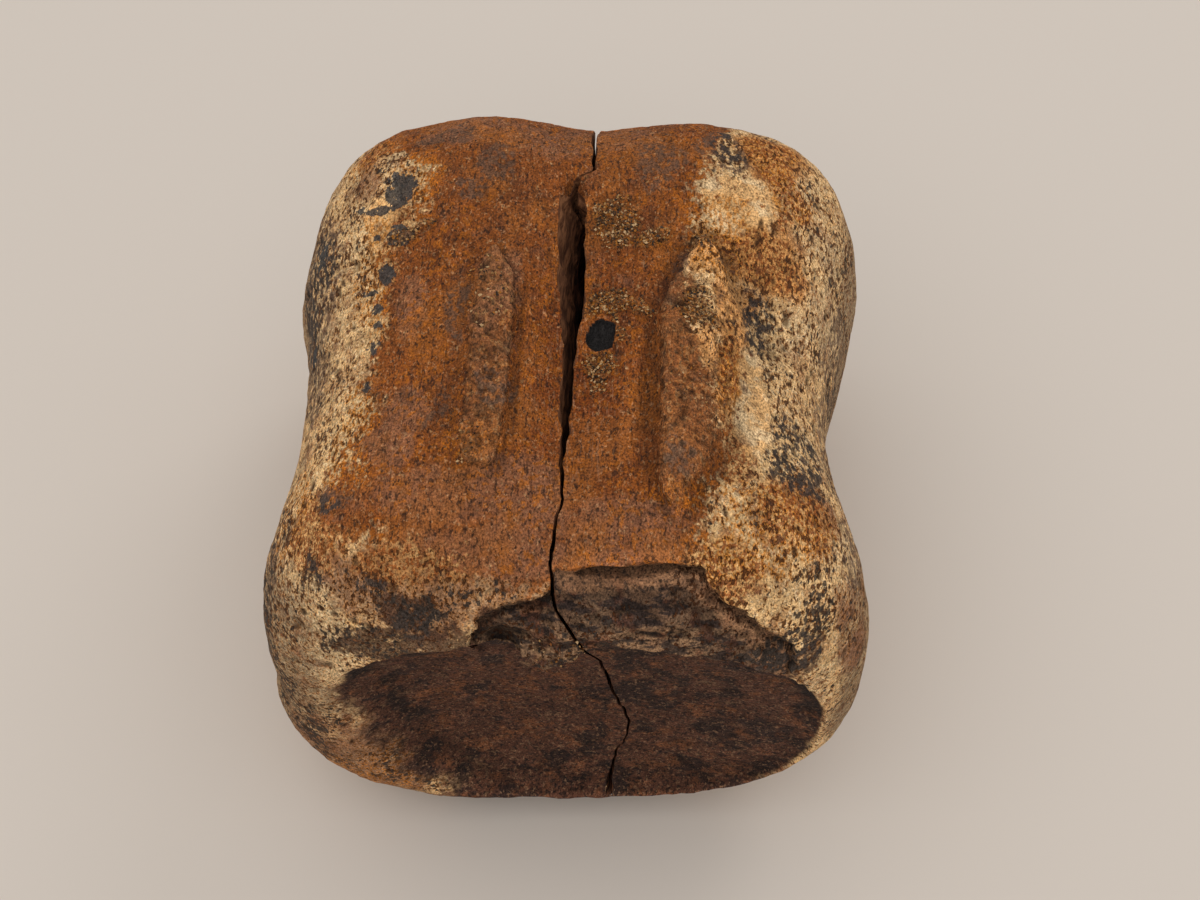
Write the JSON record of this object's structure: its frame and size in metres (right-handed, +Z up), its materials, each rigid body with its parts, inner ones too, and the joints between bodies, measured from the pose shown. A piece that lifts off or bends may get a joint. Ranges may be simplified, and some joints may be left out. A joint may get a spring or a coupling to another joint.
{
  "type": "fossil hadrosaur vertebra",
  "caption": "Spool-shaped fossil tail vertebra of a hadrosaur, lying on its underside, with dished end faces, scars of the lost arch and a deep crack along its top.",
  "frame": {"origin": "middle of the bone's footprint, at the height of the surface it lies on", "axes": "+X across the bone, +Y along it from the near end face to the far one, +Z up"},
  "size_m": [0.0974, 0.1022, 0.0815],
  "materials": {
    "fossil_bone": "mineralised bone, rust-brown on top and cream with dark specks on the flanks, matt"
  },
  "bodies": {
    "root": {"vertebra": "fossil_bone"}
  },
  "joints": []
}
